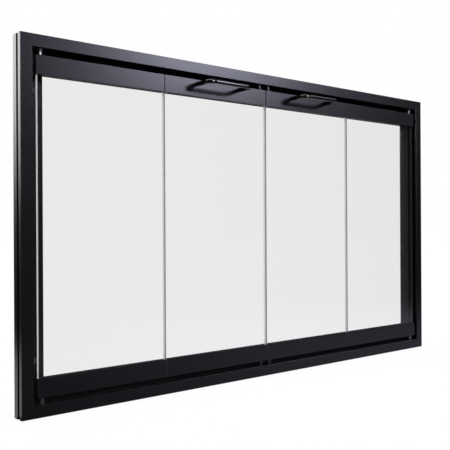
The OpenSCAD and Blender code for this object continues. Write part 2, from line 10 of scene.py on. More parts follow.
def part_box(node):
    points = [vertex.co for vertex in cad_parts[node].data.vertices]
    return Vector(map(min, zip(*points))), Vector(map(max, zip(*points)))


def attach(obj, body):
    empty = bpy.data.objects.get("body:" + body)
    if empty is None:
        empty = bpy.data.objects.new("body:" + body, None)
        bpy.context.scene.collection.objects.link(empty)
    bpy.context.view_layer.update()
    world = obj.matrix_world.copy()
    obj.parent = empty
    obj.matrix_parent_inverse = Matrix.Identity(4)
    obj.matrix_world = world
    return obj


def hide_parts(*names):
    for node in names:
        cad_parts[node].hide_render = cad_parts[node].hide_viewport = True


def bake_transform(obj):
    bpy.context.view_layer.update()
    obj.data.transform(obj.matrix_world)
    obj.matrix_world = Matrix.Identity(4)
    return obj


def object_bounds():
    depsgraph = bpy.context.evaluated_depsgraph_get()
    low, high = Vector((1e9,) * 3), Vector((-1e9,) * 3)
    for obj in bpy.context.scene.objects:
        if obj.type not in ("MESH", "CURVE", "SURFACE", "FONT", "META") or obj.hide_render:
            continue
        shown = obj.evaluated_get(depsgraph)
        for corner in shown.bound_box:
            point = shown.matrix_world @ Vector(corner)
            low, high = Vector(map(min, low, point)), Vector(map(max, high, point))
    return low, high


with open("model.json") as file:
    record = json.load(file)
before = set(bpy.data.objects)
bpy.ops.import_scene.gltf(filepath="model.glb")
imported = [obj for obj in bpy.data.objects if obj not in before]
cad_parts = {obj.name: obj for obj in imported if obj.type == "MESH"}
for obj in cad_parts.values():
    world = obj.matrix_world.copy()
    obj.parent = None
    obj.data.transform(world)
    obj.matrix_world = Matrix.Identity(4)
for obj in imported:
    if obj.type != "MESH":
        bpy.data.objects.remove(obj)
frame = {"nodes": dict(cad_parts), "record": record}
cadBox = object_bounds()
nodes = frame["nodes"]
scene = bpy.context.scene
mm = 0.001
print("frame loaded:", len(nodes), "nodes")


# sRGB hex text to linear red, green, blue and alpha
def linearColour(hexText):
    parts = np.array([int(hexText[i:i + 2], 16) for i in (1, 3, 5)]) / 255.0
    low, high = parts / 12.92, ((parts + 0.055) / 1.055) ** 2.4
    return tuple(float(v) for v in np.where(parts <= 0.04045, low, high)) + (1.0,)


# One shader node: settings are its properties or its sockets' values, links go to its sockets
def addNode(tree, kind, settings=None, links=None):
    node = tree.nodes.new(kind)
    for key, value in (settings or {}).items():
        if isinstance(key, str) and hasattr(node, key):
            setattr(node, key, value)
        else:
            node.inputs[key].default_value = value
    for key, socket in (links or {}).items():
        tree.links.new(socket, node.inputs[key])
    return node


def newTree(name):
    material = bpy.data.materials.new(name)
    material.use_nodes = True
    material.node_tree.nodes.clear()
    return material, material.node_tree


# Texture scale that repeats once in that many millimetres
def perMetre(patternMm):
    return 1000.0 / patternMm


# Camera, fitted to the straight edges of the frame in the photograph
cameraSet = {
    "place": (-0.91444, -0.99965, -0.00037),
    "focalPixels": 716.98,
    "pictureWide": 450.0,    # width in pixels of the picture that the focal length belongs to
    "sensorMm": 36.0,
    "heading": 0.694592,     # radians from +Y towards +X
    "tilt": 0.000547,
    "roll": -0.005,
    "near": 0.01,
    "far": 200.0,
}


def makeCamera(s):
    data = bpy.data.cameras.new("photoCamera")
    data.sensor_width = s["sensorMm"]
    data.lens = s["focalPixels"] / s["pictureWide"] * data.sensor_width
    data.clip_start, data.clip_end = s["near"], s["far"]
    camera = bpy.data.objects.new("photoCamera", data)
    scene.collection.objects.link(camera)
    turn = (Matrix.Rotation(-s["heading"], 4, "Z") @ Matrix.Rotation(math.pi / 2 + s["tilt"], 4, "X")
            @ Matrix.Rotation(s["roll"], 4, "Z"))
    camera.matrix_world = Matrix.Translation(s["place"]) @ turn
    scene.camera = camera


makeCamera(cameraSet)
scene.view_settings.view_transform = "Standard"


# Faces of a grid: each joins the points (u, v), (u, v + 1), (u + 1, v + 1) and (u + 1, v). The grid is
# closed along u or v if asked, and its first and last rows are filled flat if asked
def gridFaces(rows, columns, loopU=False, loopV=False, ends=False):
    u = np.arange(rows if loopU else rows - 1)[:, None]
    v = np.arange(columns if loopV else columns - 1)[None, :]
    u2, v2 = (u + 1) % rows, (v + 1) % columns
    faces = np.stack([u * columns + v, u * columns + v2, u2 * columns + v2, u2 * columns + v], -1)
    faces = faces.reshape(-1, 4).tolist()
    if ends:
        faces.append(list(range(columns))[::-1])
        faces.append(list(range((rows - 1) * columns, rows * columns)))
    return faces


def gridMesh(name, points, faces):
    mesh = bpy.data.meshes.new(name)
    mesh.from_pydata(np.reshape(points, (-1, 3)).tolist(), [], faces)
    return mesh


studio = {
    "fill": 0.62,            # brightness of the room for plain surfaces
    "floorHex": "#e6e6e6",
    "floorShare": 0.84,      # share of the floor that stays white where the shadow falls
    "floorTone": 1.09,
    "floorHalf": 30.0,
    "floorDropMm": 0.1,      # how far the floor lies under the object
    "clothDropMm": 0.05,     # the same for the cloths on it
    "clothHalf": 31.0,       # they reach a little past its edge
    "clothSteps": 33,        # points along each side of a hung cloth
}


# 1 for rays from the camera, off gloss and through glass, 0 for plain light
def seesBackground(tree):
    path = addNode(tree, "ShaderNodeLightPath")
    gloss = addNode(tree, "ShaderNodeMath", {"operation": "MAXIMUM"},
                    {0: path.outputs["Is Camera Ray"], 1: path.outputs["Is Glossy Ray"]})
    both = addNode(tree, "ShaderNodeMath", {"operation": "MAXIMUM"},
                   {0: gloss.outputs[0], 1: path.outputs["Is Transmission Ray"]})
    return both.outputs[0]


def makeWorld(s):
    world = bpy.data.worlds.new("studioWorld")
    scene.world = world
    world.use_nodes = True
    tree = world.node_tree
    tree.nodes.clear()
    strength = addNode(tree, "ShaderNodeMapRange", {"To Min": s["fill"], "To Max": 1.0},
                       {"Value": seesBackground(tree)})
    glow = addNode(tree, "ShaderNodeBackground", {"Color": (1, 1, 1, 1)},
                   {"Strength": strength.outputs["Result"]})
    addNode(tree, "ShaderNodeOutputWorld", None, {"Surface": glow.outputs[0]})


def stageSheet(name, points, faces, material):
    mesh = gridMesh(name, points, faces)
    mesh.materials.append(material)
    sheet = bpy.data.objects.new(name, mesh)
    scene.collection.objects.link(sheet)
    return sheet


def makeFloor(s):
    material, tree = newTree("pale_floor_paper")
    paper = addNode(tree, "ShaderNodeBsdfDiffuse", {"Color": linearColour(s["floorHex"])})
    glow = addNode(tree, "ShaderNodeEmission", {"Color": (1, 1, 1, 1), "Strength": s["floorTone"]})
    share = addNode(tree, "ShaderNodeMath", {"operation": "MULTIPLY", 1: s["floorShare"]},
                    {0: seesBackground(tree)})
    mixed = addNode(tree, "ShaderNodeMixShader", None,
                    {0: share.outputs[0], 1: paper.outputs[0], 2: glow.outputs[0]})
    addNode(tree, "ShaderNodeOutputMaterial", None, {"Surface": mixed.outputs[0]})
    half, height = s["floorHalf"], cadBox[0].z - s["floorDropMm"] * mm
    corners = [(-half, -half, height), (half, -half, height), (half, half, height), (-half, half, height)]
    stageSheet("floor", corners, [(0, 1, 2, 3)], material)


makeWorld(studio)
makeFloor(studio)

# Lights are given by the direction in which the object sees them, azimuth from -Y towards +X and elevation,
# and by half the angles that they fill, all in degrees
lights = {
    "keySoftbox": {"azimuth": 38.6, "elevation": 21.5, "halfWide": 5.5, "halfHigh": 9.9, "away": 40.0,
                   "radiance": 12.2, "hex": "#e6e6ff"},
    "sideSoftbox": {"azimuth": -45.0, "elevation": 30.0, "halfWide": 18.0, "halfHigh": 9.0, "away": 40.0,
                    "radiance": 0.3, "hex": "#ffffff"},
}


# Direction of length 1: (sin a cos e, -cos a cos e, sin e)
def towards(azimuth, elevation):
    a, e = math.radians(azimuth), math.radians(elevation)
    return Vector((math.sin(a) * math.cos(e), -math.cos(a) * math.cos(e), math.sin(e)))


def makeLight(name, s):
    data = bpy.data.lights.new(name, "AREA")
    data.shape = "RECTANGLE"
    data.size = 2 * s["away"] * math.tan(math.radians(s["halfWide"]))
    data.size_y = 2 * s["away"] * math.tan(math.radians(s["halfHigh"]))
    data.energy = 4.0 * s["radiance"] * data.size * data.size_y   # power = 4 area radiance
    data.color = linearColour(s["hex"])[:3]
    lamp = bpy.data.objects.new(name, data)
    scene.collection.objects.link(lamp)
    out = towards(s["azimuth"], s["elevation"])
    turn = out.to_track_quat("Z", "Y").to_matrix().to_4x4()
    lamp.matrix_world = Matrix.Translation(out * s["away"]) @ turn
    lamp.visible_camera = lamp.visible_transmission = False


for lightName, lightSet in lights.items():
    makeLight(lightName, lightSet)


# A glow whose tone goes smoothly from one value to another between two heights of its own points, or between
# two distances of them from a centre; an even cloth has the same tone at both
def clothGlow(name, s):
    material, tree = newTree(name)
    place = addNode(tree, "ShaderNodeTexCoord")
    if "centre" in s:
        along = addNode(tree, "ShaderNodeVectorMath", {"operation": "DISTANCE", 1: s["centre"]},
                        {0: place.outputs["Object"]}).outputs["Value"]
        start, end = s["distances"]
    else:
        along = addNode(tree, "ShaderNodeSeparateXYZ", None, {0: place.outputs["Object"]}).outputs["Z"]
        start, end = s.get("heights", (0.0, s["away"]))
    tone = addNode(tree, "ShaderNodeMapRange",
                   {"interpolation_type": "SMOOTHSTEP", "From Min": start, "From Max": end,
                    "To Min": s["tones"][0], "To Max": s["tones"][1]}, {"Value": along})
    glow = addNode(tree, "ShaderNodeEmission", {"Color": linearColour(s.get("hex", "#ffffff"))},
                   {"Strength": tone.outputs["Result"]})
    addNode(tree, "ShaderNodeOutputMaterial", None, {"Surface": glow.outputs[0]})
    return material


# Cloths and reflectors that only gloss sees, as a photographer hangs them to keep the black paint black.
# Each is a patch of a big sphere about the object or a sheet just over the floor.
cloths = {
    "frontCloth": {"azimuth": (-118, 112), "elevation": (-1.0, 89), "away": 60.0, "tones": (0.015, 0.015)},
    "frontCard": {"azimuth": (-26, -2), "elevation": (8, 26), "away": 55.0, "tones": (21.0, 21.0)},
    # seen by the round bars of the handles, above what the flat faces see
    "barCard": {"azimuth": (53, 62.5), "elevation": (25, 37), "away": 56.0, "tones": (7.0, 7.0),
                "hex": "#f0f0ff"},
    "handleCloth": {"azimuth": (112, 178), "elevation": (4, 60), "away": 57.0, "tones": (0.02, 0.02)},
    "backReflector": {"azimuth": (112, 242), "elevation": (-1.0, 89), "away": 60.0, "heights": (0.0, 13.5),
                      "tones": (0.02, 4.6)},
}
# Left, right, front and rear side of each; they lie along the object's rear plane and its left side
reach, leftSide, bottom = studio["clothHalf"], cadBox[0].x, cadBox[0].z
floorCloths = {
    "frontFloorCloth": {"sides": (-reach, reach, -reach, 0), "centre": (0.45, 0, bottom),
                        "distances": (0.2, 1.2), "tones": (0.38, 0.02), "hex": "#e8e6ff"},
    "sideFloorCloth": {"sides": (-reach, leftSide, 0, reach), "centre": (leftSide, 0, bottom),
                       "distances": (0.30, 0.85), "tones": (0.80, 0.02)},
}


def onlyGlossSees(cloth):
    cloth.visible_camera = cloth.visible_diffuse = False
    cloth.visible_transmission = cloth.visible_shadow = False


# x, y, z = away * direction(azimuth, elevation) on a grid
def makeCloth(name, s):
    steps = studio["clothSteps"]
    az, el = np.meshgrid(np.radians(np.linspace(*s["azimuth"], steps)),
                         np.radians(np.linspace(*s["elevation"], steps)))
    points = s["away"] * np.stack([np.sin(az) * np.cos(el), -np.cos(az) * np.cos(el), np.sin(el)], -1)
    onlyGlossSees(stageSheet(name, points, gridFaces(steps, steps), clothGlow(name, s)))


def makeFloorCloth(name, s):
    left, right, front, rear = s["sides"]
    height = cadBox[0].z - studio["clothDropMm"] * mm
    corners = [(left, front, height), (right, front, height), (right, rear, height), (left, rear, height)]
    onlyGlossSees(stageSheet(name, corners, [(0, 1, 2, 3)], clothGlow(name, s)))


for clothName, clothSet in cloths.items():
    makeCloth(clothName, clothSet)
for clothName, clothSet in floorCloths.items():
    makeFloorCloth(clothName, clothSet)
print("studio made")


# A noise whose pattern size is real, in millimetres; stretch makes it long along one axis
def realNoise(tree, sizeMm, detail=3.0, rough=0.55, stretch=(1, 1, 1)):
    place = addNode(tree, "ShaderNodeTexCoord")
    turned = addNode(tree, "ShaderNodeMapping", {"Scale": tuple(perMetre(sizeMm) / v for v in stretch)},
                     {"Vector": place.outputs["Object"]})
    noise = addNode(tree, "ShaderNodeTexNoise", {"Scale": 1.0, "Detail": detail, "Roughness": rough},
                    {"Vector": turned.outputs[0]})
    return noise.outputs["Fac"]


noiseSpan = {"From Min": 0.3, "From Max": 0.7}   # nearly all of a noise's values lie between these


# The common end of every opaque finish: base colour and roughness that vary, and a fine relief
def finishSurface(tree, s, colourMask, roughMask, relief):
    bump = addNode(tree, "ShaderNodeBump", {"Strength": 1.0, "Distance": s["reliefMm"] * mm},
                   {"Height": relief})
    first, second = (linearColour(hexText) for hexText in s["colours"])
    colour = addNode(tree, "ShaderNodeMix", {"data_type": "RGBA", 6: first, 7: second}, {0: colourMask})
    low, high = s["roughness"]
    rough = addNode(tree, "ShaderNodeMapRange", {**noiseSpan, "To Min": low, "To Max": high},
                    {"Value": roughMask})
    shader = addNode(tree, "ShaderNodeBsdfPrincipled", {"Metallic": s.get("metallic", 0.0)},
                     {"Base Color": colour.outputs[2], "Roughness": rough.outputs["Result"],
                      "Normal": bump.outputs[0]})
    for socket, value in s.get("shader", {}).items():
        shader.inputs[socket].default_value = value
    addNode(tree, "ShaderNodeOutputMaterial", None, {"Surface": shader.outputs[0]})


# Powder coat: melted grains leave an orange-peel skin. The real peel is about 0.8 mm across;
# it is drawn coarser, so that it doesn't alias at the picture's size.
def powderCoat(s):
    material, tree = newTree(s["real"])
    peel = realNoise(tree, s["peelMm"], 2.0)
    cloud = realNoise(tree, s["cloudMm"], 3.0)
    finishSurface(tree, s, cloud, cloud, peel)
    return material


# Plated, turned or extruded metal: a fine grain, drawn out into lines where "stretch" says so, over a
# cloudy surface
def grainedMetal(s):
    material, tree = newTree(s["real"])
    lines = realNoise(tree, s["lineMm"], 3.0, 0.6, s["stretch"])
    cloud = realNoise(tree, s["cloudMm"], 4.0)
    finishSurface(tree, s, cloud, lines, lines)
    return material


# Moulded or extruded polymer: faint flow marks and a matt skin
def mouldedPolymer(s):
    material, tree = newTree(s["real"])
    skin = realNoise(tree, s["grainMm"], 4.0)
    flow = realNoise(tree, s["flowMm"], 2.0, 0.5, s["stretch"])
    finishSurface(tree, s, flow, flow, skin)
    return material


# Painted finishes; "real" is what the material is and how its surface was made, and says where shade or light
# is painted on it
coats = {
    # Baked powder: deep black, soft-edged gloss that fades along the flats, and a faint orange peel
    "frame_paint": {"real": "satin_black_powder_coat", "colours": ("#08080a", "#0a0a0c"),
                    "roughness": (0.237, 0.25), "peelMm": 2.2, "cloudMm": 60, "reliefMm": 0.012},
    # Dipped and air-dried: hardly any gloss, so that the groove stays dark
    "track_paint": {"real": "matt_black_dip_paint", "colours": ("#060606", "#080809"),
                    "roughness": (0.60, 0.70), "peelMm": 1.6, "cloudMm": 35, "reliefMm": 0.015,
                    "shader": {"Specular IOR Level": 0.15}},
    # Powder on thin tube: the frame's finish with a finer peel and a hint of blue in the black
    "rail_paint": {"real": "semigloss_black_powder_coat", "colours": ("#08080a", "#0a0a0d"),
                   "roughness": (0.237, 0.25), "peelMm": 2.0, "cloudMm": 45, "reliefMm": 0.010},
    # Painted shade: the frame's black made darker and dull, laid deep in the sill and head and on the rails'
    # upward lip faces
    "painted_shade_coat": {"real": "black_powder_coat_with_painted_shade", "colours": ("#060607", "#080809"),
                   "roughness": (0.50, 0.60), "peelMm": 1.6, "cloudMm": 25, "reliefMm": 0.010,
                   "shader": {"Specular IOR Level": 0.10}},
    # Painted light: a sheen on the right jamb's rear flange, painted as matt charcoal in place of the frame's
    # black
    "flange_painted_sheen": {"real": "black_flange_with_painted_sheen", "colours": ("#2c2c2f", "#353538"),
                     "roughness": (0.42, 0.52), "peelMm": 1.6, "cloudMm": 25, "reliefMm": 0.010},
    # Painted light on the rails' end faces at the joints: dull mid grey in place of black, so that the joints
    # hardly show
    "rail_end_painted_light": {"real": "rail_end_with_painted_light", "colours": ("#5a5a5e", "#66666a"),
                 "roughness": (0.50, 0.60), "peelMm": 1.6, "cloudMm": 25, "reliefMm": 0.010},
    # Stoved enamel on a drawn bar: narrow bright lines along the bar and a glint at each bend
    "handle_paint": {"real": "gloss_black_stoved_enamel", "colours": ("#070708", "#09090a"),
                     "roughness": (0.10, 0.13), "peelMm": 1.8, "cloudMm": 25, "reliefMm": 0.006},
    # Pressed steel, blackened in a bath and oiled: cloudy, uneven sheen
    "hinge_paint": {"real": "blackened_pressed_steel", "colours": ("#0d0d0e", "#151514"),
                    "roughness": (0.34, 0.46), "peelMm": 0.9, "cloudMm": 7, "reliefMm": 0.012},
}
metals = {
    # Barrel-plated screws: bright bluish grey that sparkles from dark gaps
    "zinc_steel": {"real": "bright_zinc_plated_steel", "colours": ("#a9adb3", "#bdbfbf"), "metallic": 1.0,
                   "roughness": (0.24, 0.36), "lineMm": 0.5, "stretch": (1, 1, 1), "cloudMm": 4.0,
                   "reliefMm": 0.006},
    # Turned pins, plated and rubbed dull in their sockets: a soft grey point of light
    "dull_zinc": {"real": "dull_zinc_plated_turned_steel", "colours": ("#6c6e73", "#7e7f82"), "metallic": 1.0,
                  "roughness": (0.32, 0.42), "lineMm": 0.5, "stretch": (1, 1, 1), "cloudMm": 3.0,
                  "reliefMm": 0.008},
    # Studs with a black passivated plating: nearly black, with a faint line of light
    "black_zinc": {"real": "black_passivated_turned_steel", "colours": ("#3e4044", "#4c4d50"), "metallic": 1.0,
                   "roughness": (0.34, 0.44), "lineMm": 0.5, "stretch": (1, 1, 1), "cloudMm": 3.0,
                   "reliefMm": 0.008},
    # Extruded and left as it came from the die: pale grey with streaks along its length
    "mill_aluminium": {"real": "mill_finish_extruded_aluminium", "colours": ("#a6a9ac", "#b6b8ba"),
                       "metallic": 1.0, "roughness": (0.30, 0.46), "lineMm": 0.4, "stretch": (1, 60, 1),
                       "cloudMm": 12.0, "reliefMm": 0.006},
}
polymers = {
    # Extruded rubber: flat black, with faint lines along its length
    "gasket_rubber": {"real": "extruded_black_rubber", "colours": ("#0a0a0a", "#101010"),
                      "roughness": (0.66, 0.80), "grainMm": 0.7, "flowMm": 3.0, "stretch": (40, 1, 1),
                      "reliefMm": 0.02, "shader": {"Specular IOR Level": 0.12}},
    # Nylon moulded in a sparked tool: dark, with a fine satin grain
    "dark_nylon": {"real": "moulded_black_nylon", "colours": ("#141414", "#1b1b1b"), "roughness": (0.42, 0.56),
                   "grainMm": 0.6, "flowMm": 6.0, "stretch": (1, 1, 3), "reliefMm": 0.012},
    # The same without dye: cream white and a little waxy
    "pale_nylon": {"real": "moulded_natural_nylon", "colours": ("#d4cfc2", "#e0dccf"), "roughness": (0.38, 0.5),
                   "grainMm": 0.6, "flowMm": 5.0, "stretch": (1, 1, 2), "reliefMm": 0.010},
}


glassSet = {
    "hex": "#f8f8f8",
    "ior": 1.52,
    "mirrors": 1.6,          # times Fresnel's share of one face, for the two faces together
    "edgeLineMm": 0.6,       # the wheel's marks, drawn coarser than the real ones so that they show
    "edgeStretch": (1, 1, 40),
    "edgeRoughness": 0.35,
    "edgeSkin": 0.25,        # share of the edge's light that comes from its very surface
}


# Clear tempered float glass: nothing to see but what it mirrors. A flat pane shifts what is behind it by
# barely a millimetre, so each mirrors at the face that the eye meets first and lets the rest straight through.
def clearGlass(s):
    material, tree = newTree("clear_tempered_float_glass")
    through = addNode(tree, "ShaderNodeBsdfTransparent", {"Color": linearColour(s["hex"])})
    mirror = addNode(tree, "ShaderNodeBsdfGlossy", {"Roughness": 0.0, "Color": (1, 1, 1, 1)})
    side = addNode(tree, "ShaderNodeNewGeometry")
    fresnel = addNode(tree, "ShaderNodeFresnel", {"IOR": s["ior"]})
    share = addNode(tree, "ShaderNodeMath", {"operation": "MULTIPLY", "use_clamp": True, 1: s["mirrors"]},
                    {0: fresnel.outputs[0]})
    kept = addNode(tree, "ShaderNodeMix", {"data_type": "FLOAT", "B": 0.0},
                   {"Factor": side.outputs["Backfacing"], "A": share.outputs[0]})
    mixed = addNode(tree, "ShaderNodeMixShader", None,
                    {0: kept.outputs[0], 1: through.outputs[0], 2: mirror.outputs[0]})
    addNode(tree, "ShaderNodeOutputMaterial", None, {"Surface": mixed.outputs[0]})
    return material


# Edges of the panes: one ground edge in painted lit and shaded copies, by how much light reaches them;
# "through" is the share that passes straight
glassEdges = {
    # Ground flat with a fine wheel, the most lit copy: painted light, frosted and bright, nearly white
    "ground_glass_edge": {"real": "ground_glass_edge", "colours": ("#e8e7e5", "#f2f1ef"), "through": 0.0},
    # The same ground edge as a painted lit copy, nearly white: it lets part of what is behind it through
    "clear_glass_edge": {"real": "lit_ground_glass_edge", "colours": ("#f5f5f6", "#fcfcfd"), "through": 0.3},
    # Ground, in the shade of the next pane: a grey line at the joint
    "shaded_glass_edge": {"real": "shaded_ground_glass_edge", "colours": ("#868988", "#939695"),
                          "through": 0.0},
    # Ground, against the black jamb: painted shade, nearly as dark as the paint
    "dark_glass_edge": {"real": "dark_ground_glass_edge", "colours": ("#2a2f2d", "#363c3a"), "through": 0.0},
}


# The ground and seamed edge of the same glass: its frosted skin scatters out the light that runs inside
# the pane, with marks along the edge where the wheel went
def groundGlassEdge(s, glass):
    material, tree = newTree(s["real"])
    lines = realNoise(tree, glass["edgeLineMm"], 3.0, 0.6, glass["edgeStretch"])
    first, second = (linearColour(hexText) for hexText in s["colours"])
    tone = addNode(tree, "ShaderNodeMix", {"data_type": "RGBA", 6: first, 7: second}, {0: lines}).outputs[2]
    inner = addNode(tree, "ShaderNodeBsdfTranslucent", None, {"Color": tone})
    skin = addNode(tree, "ShaderNodeBsdfPrincipled", {"Roughness": glass["edgeRoughness"]},
                   {"Base Color": tone})
    mixed = addNode(tree, "ShaderNodeMixShader", {0: glass["edgeSkin"]},
                    {1: inner.outputs[0], 2: skin.outputs[0]})
    clear = addNode(tree, "ShaderNodeBsdfTransparent", {"Color": (1, 1, 1, 1)})
    edge = addNode(tree, "ShaderNodeMixShader", {0: s["through"]}, {1: mixed.outputs[0], 2: clear.outputs[0]})
    addNode(tree, "ShaderNodeOutputMaterial", None, {"Surface": edge.outputs[0]})
    return material


finishes = {name: powderCoat(s) for name, s in coats.items()}
finishes.update({name: grainedMetal(s) for name, s in metals.items()})
finishes.update({name: mouldedPolymer(s) for name, s in polymers.items()})
finishes["clear_glass"] = clearGlass(glassSet)
finishes.update({name: groundGlassEdge(s, glassSet) for name, s in glassEdges.items()})
# Pins and studs, which are plated otherwise than the screws
pinFinishes = {"top_pivot_pin": "dull_zinc", "bottom_pivot_pin": "dull_zinc", "guide_studs": "black_zinc",
               "hinge_pins": "black_zinc"}
for part in frame["record"]["subparts"]:
    mesh = nodes[part["node"]].data
    mesh.materials.clear()
    plainName = part["node"].split("_", 1)[1]
    mesh.materials.append(finishes[pinFinishes.get(plainName, part["material_slot"])])


# A further coat on some faces of a node, chosen by their middles and normals
def partCoat(node, finish, choose):
    mesh = nodes[node].data
    count = len(mesh.polygons)
    middles, normals, coat = np.empty(count * 3), np.empty(count * 3), np.empty(count, np.int32)
    mesh.polygons.foreach_get("center", middles)
    mesh.polygons.foreach_get("normal", normals)
    mesh.polygons.foreach_get("material_index", coat)
    coat[choose(middles.reshape(-1, 3), normals.reshape(-1, 3))] = len(mesh.materials)
    mesh.materials.append(finishes[finish])
    mesh.polygons.foreach_set("material_index", coat)


coatSet = {
    "flangeMm": 2.4,         # thickness of the frame's rear flange
    "channelDepth": 8,       # the inside of sill and head reaches this many thicknesses from the rear
    "flangeDepth": 1.5,
    "facingFront": 0.9,      # how much of a face's normal looks that way
    "facingUp": 0.15,
    "facingEnd": 0.99,
    "beyondFoldMm": 2.0,     # the rails' ends at the joints lie no further out than this past the fold
}


# Painted shade inside the sill and head and on the edges of the rails' lips beside the glass, a painted sheen
# on the right jamb's rear flange, and painted light on the rails' ends at the joints
def coatParts(s):
    flangeY = -s["flangeMm"] * mm
    foldX = max(joint["pos_m"][0] for joint in frame["record"]["behaviour"]["joints"]
                if "fold" in joint["name"])
    # painted shade deep in the channels of sill and head
    for node in ("sill_member", "head_member"):
        partCoat(node, "painted_shade_coat", lambda middle, normal: middle[:, 1] > s["channelDepth"] * flangeY)
    # painted sheen on the right jamb's rear flange, as matt charcoal
    partCoat("right_jamb", "flange_painted_sheen", lambda middle, normal: (normal[:, 1] < -s["facingFront"])
             & (middle[:, 1] > s["flangeDepth"] * flangeY))
    for side in ("left_outer", "left_inner", "right_outer", "right_inner"):
        # painted shade on the bottom rails' upward faces beside the glass
        partCoat(side + "_bottom_rail", "painted_shade_coat", lambda middle, normal: normal[:, 2] > s["facingUp"])
        for level in ("top", "bottom"):
            # painted light on the rails' end faces at the joints, as dull mid grey
            partCoat("%s_%s_rail" % (side, level), "rail_end_painted_light",
                     lambda middle, normal: (abs(normal[:, 0]) > s["facingEnd"])
                     & (abs(middle[:, 0]) < foldX + s["beyondFoldMm"] * mm))


coatParts(coatSet)
print("materials made")

bodyOf = {name: body for body, names in frame["record"]["behaviour"]["bodies"].items() for name in names}
slotOf = {part["node"]: part["material_slot"] for part in frame["record"]["subparts"]}


# A piece from a mesh of points and faces, riding on one body, or on none
def makePiece(name, body, points, faces, materials, smoothDegrees=35, faceMaterial=None):
    mesh = gridMesh(name, points, faces)
    for finish in materials:
        mesh.materials.append(finishes[finish])
    if faceMaterial is not None:
        mesh.polygons.foreach_set("material_index", np.asarray(faceMaterial, np.int32))
    mesh.polygons.foreach_set("use_smooth", np.ones(len(mesh.polygons), bool))
    turned = bmesh.new()
    turned.from_mesh(mesh)
    bmesh.ops.recalc_face_normals(turned, faces=turned.faces)   # every face points outwards
    turned.to_mesh(mesh)
    turned.free()
    mesh.set_sharp_from_angle(angle=math.radians(smoothDegrees))
    piece = bpy.data.objects.new(name, mesh)
    scene.collection.objects.link(piece)
    if body:
        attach(piece, body)
    return piece


# A finished piece that stands for one CAD node, on the same body and with the same material slot
def finishPiece(node, *shape):
    piece = makePiece(node + "_shown", bodyOf[node], *shape)
    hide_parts(node)


# Several grids of points with their faces as one list of points and one list of faces
def joinParts(parts):
    points, faces, count = [], [], 0
    for partPoints, partFaces in parts:
        flat = np.reshape(partPoints, (-1, 3))
        points.append(flat)
        faces.extend([[i + count for i in face] for face in partFaces])
        count += len(flat)
    return np.concatenate(points), faces


# Outline of a rounded rectangle about the origin, counter-clockwise: at each corner its centre, which lies
# a radius inside both sides, + radius (cos a, sin a)
def roundedRectangle(width, height, radius, steps):
    angle = np.linspace(0, math.pi / 2, steps)
    corners = []
    for turn, (sx, sy) in enumerate([(1, 1), (-1, 1), (-1, -1), (1, -1)]):
        a = angle + turn * math.pi / 2
        corners.append(np.stack([sx * (width / 2 - radius) + radius * np.cos(a),
                                 sy * (height / 2 - radius) + radius * np.sin(a)], -1))
    return np.concatenate(corners)


paneSet = {
    "cornerMm": 2.0,
    "seamMm": 0.7,           # the sanded bevel along each edge
    "cornerSteps": 8,
    "smoothDegrees": 25,
}


# A pane is an outline carried through its thickness: bevel, edge, bevel, with flat faces. The finishes of
# its left and right halves of the edge come as a pair
def makePane(node, edges, s):
    low, high = (np.array(corner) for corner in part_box(node))
    middle, size = (low + high) / 2, high - low
    seam = s["seamMm"] * mm
    loops = []
    for inset, y in ((seam, low[1]), (0, low[1] + seam), (0, high[1] - seam), (seam, high[1])):
        outline = roundedRectangle(size[0] - 2 * inset, size[2] - 2 * inset, s["cornerMm"] * mm - inset,
                                   s["cornerSteps"])
        loops.append(np.stack([middle[0] + outline[:, 0], np.full(len(outline), y),
                               middle[2] + outline[:, 1]], -1))
    faces = gridFaces(len(loops), len(loops[0]), loopV=True, ends=True)
    kinds = np.append(np.where(np.tile(loops[0][:, 0], len(loops) - 1) < middle[0], 1, 2), [0, 0])
    finishPiece(node, np.array(loops), faces, ["clear_glass", *edges], s["smoothDegrees"], kinds)


makePane("left_outer_glass", ("ground_glass_edge", "clear_glass_edge"), paneSet)
makePane("left_inner_glass", ("shaded_glass_edge", "clear_glass_edge"), paneSet)
makePane("right_inner_glass", ("shaded_glass_edge", "clear_glass_edge"), paneSet)
makePane("right_outer_glass", ("shaded_glass_edge", "dark_glass_edge"), paneSet)
print("panes made")

handleSet = {
    "bendMm": 12.0,          # radius of the bend along the middle of the bar
    "edgeMm": 3.2,           # radius of the bar's own edges
    "depthMm": 6.5,          # the bar from front to back
    "bendSteps": 24,
    "cornerSteps": 10,
    "smoothDegrees": 50,
}


# A bar swept along a path: a foot, a quarter bend, the grip, a quarter bend and a foot.
# point = path + across (-cos t, sin t) + up, where t is how far the path has turned and y runs forwards
def makeHandle(node, s):
    low, high = (np.array(corner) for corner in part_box(node))
    half, bend, depth = (high[0] - low[0]) / 2, s["bendMm"] * mm, s["depthMm"] * mm
    reach = high[1] - low[1] - depth / 2
    run = half - depth / 2
    turn = np.linspace(0, math.pi / 2, s["bendSteps"])
    aside, ahead = bend * (1 - np.cos(turn)), reach - bend + bend * np.sin(turn)
    x = np.concatenate([[-run], aside - run, run - aside[::-1], [run]])
    y = np.concatenate([[0.0], ahead, ahead[::-1], [0.0]])
    angle = np.concatenate([[0.0], turn, math.pi - turn[::-1], [math.pi]])
    outX, outY = -np.cos(angle), np.sin(angle)
    section = roundedRectangle(depth, high[2] - low[2], s["edgeMm"] * mm, s["cornerSteps"])
    across, up = section[:, 0][None, :], section[:, 1][None, :]
    points = np.stack([(low[0] + high[0]) / 2 + x[:, None] + across * outX[:, None],
                       high[1] - y[:, None] - across * outY[:, None],
                       (low[2] + high[2]) / 2 + up + 0 * x[:, None]], -1)
    faces = gridFaces(len(x), section.shape[0], loopV=True, ends=True)
    finishPiece(node, points, faces, ["handle_paint"], s["smoothDegrees"])


for side in ("left", "right"):
    makeHandle(side + "_handle", handleSet)
print("handles made")


